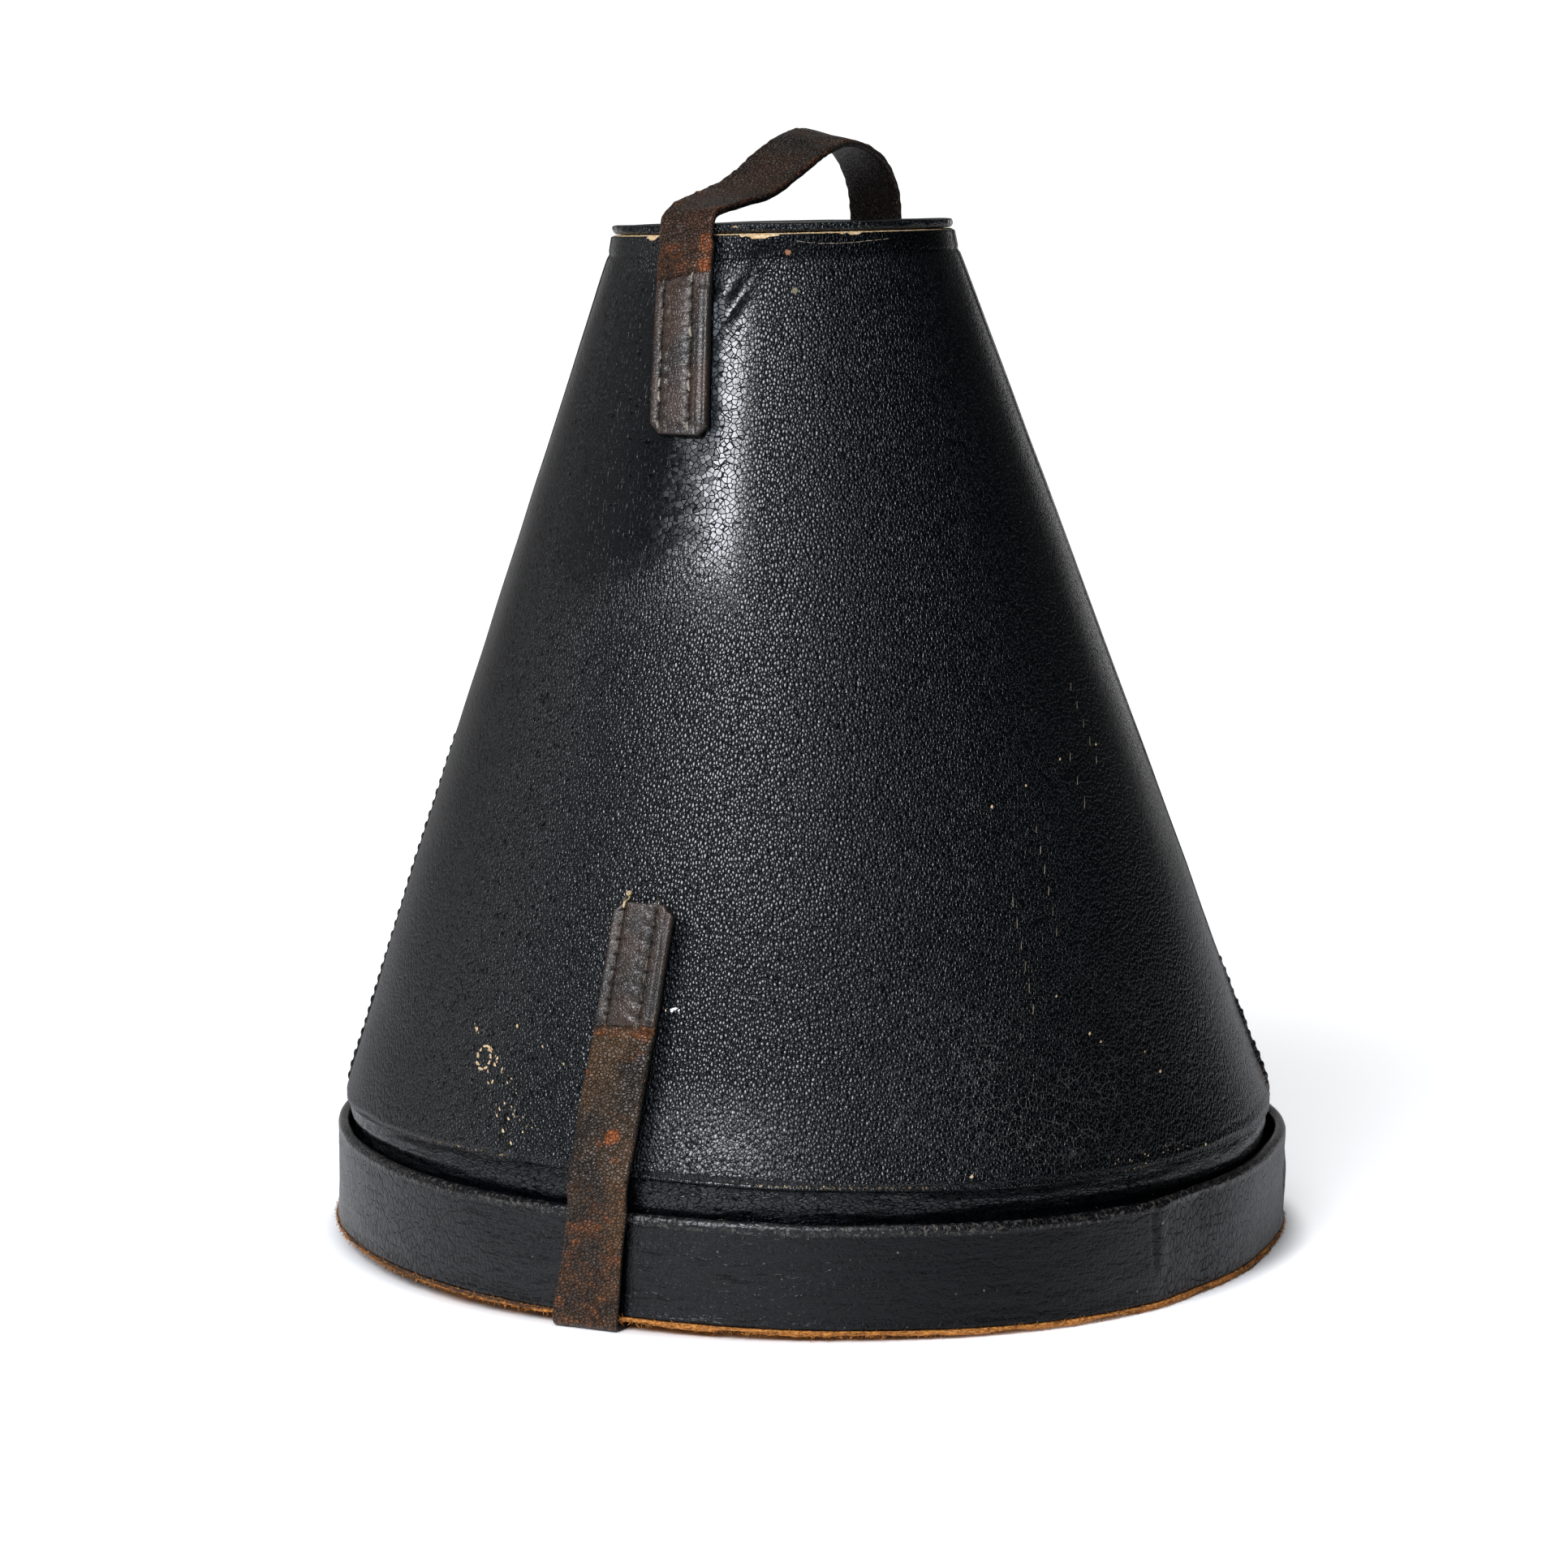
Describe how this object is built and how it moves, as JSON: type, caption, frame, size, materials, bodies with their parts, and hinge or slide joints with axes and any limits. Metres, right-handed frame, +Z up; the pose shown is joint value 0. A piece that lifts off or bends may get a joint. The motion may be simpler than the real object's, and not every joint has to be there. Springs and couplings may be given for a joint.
{
  "type": "dragoon helmet case",
  "caption": "Tall conical leather travelling case for a crested cavalry helmet, standing in a shallow round tray, with a carrying strap over its top and a closing strap.",
  "frame": {"origin": "on the floor, midway under the case", "axes": "+Z up, -Y towards the case's front, where the closing strap is sewn on; +X to the right seen from the front"},
  "size_m": [0.346, 0.3542, 0.398],
  "materials": {
    "black_leather": "semi-gloss, crackled",
    "brown_leather": "worn satin",
    "raw_leather": "matte, raw",
    "stud": "tarnished"
  },
  "bodies": {
    "root": {"cone_shell": "black_leather", "top_disc": "black_leather", "foot_collar": "black_leather", "tray_rim": "black_leather", "tray_base": "raw_leather", "handle_strap": "brown_leather", "closing_strap": "brown_leather", "rear_stud": "stud"}
  },
  "joints": []
}
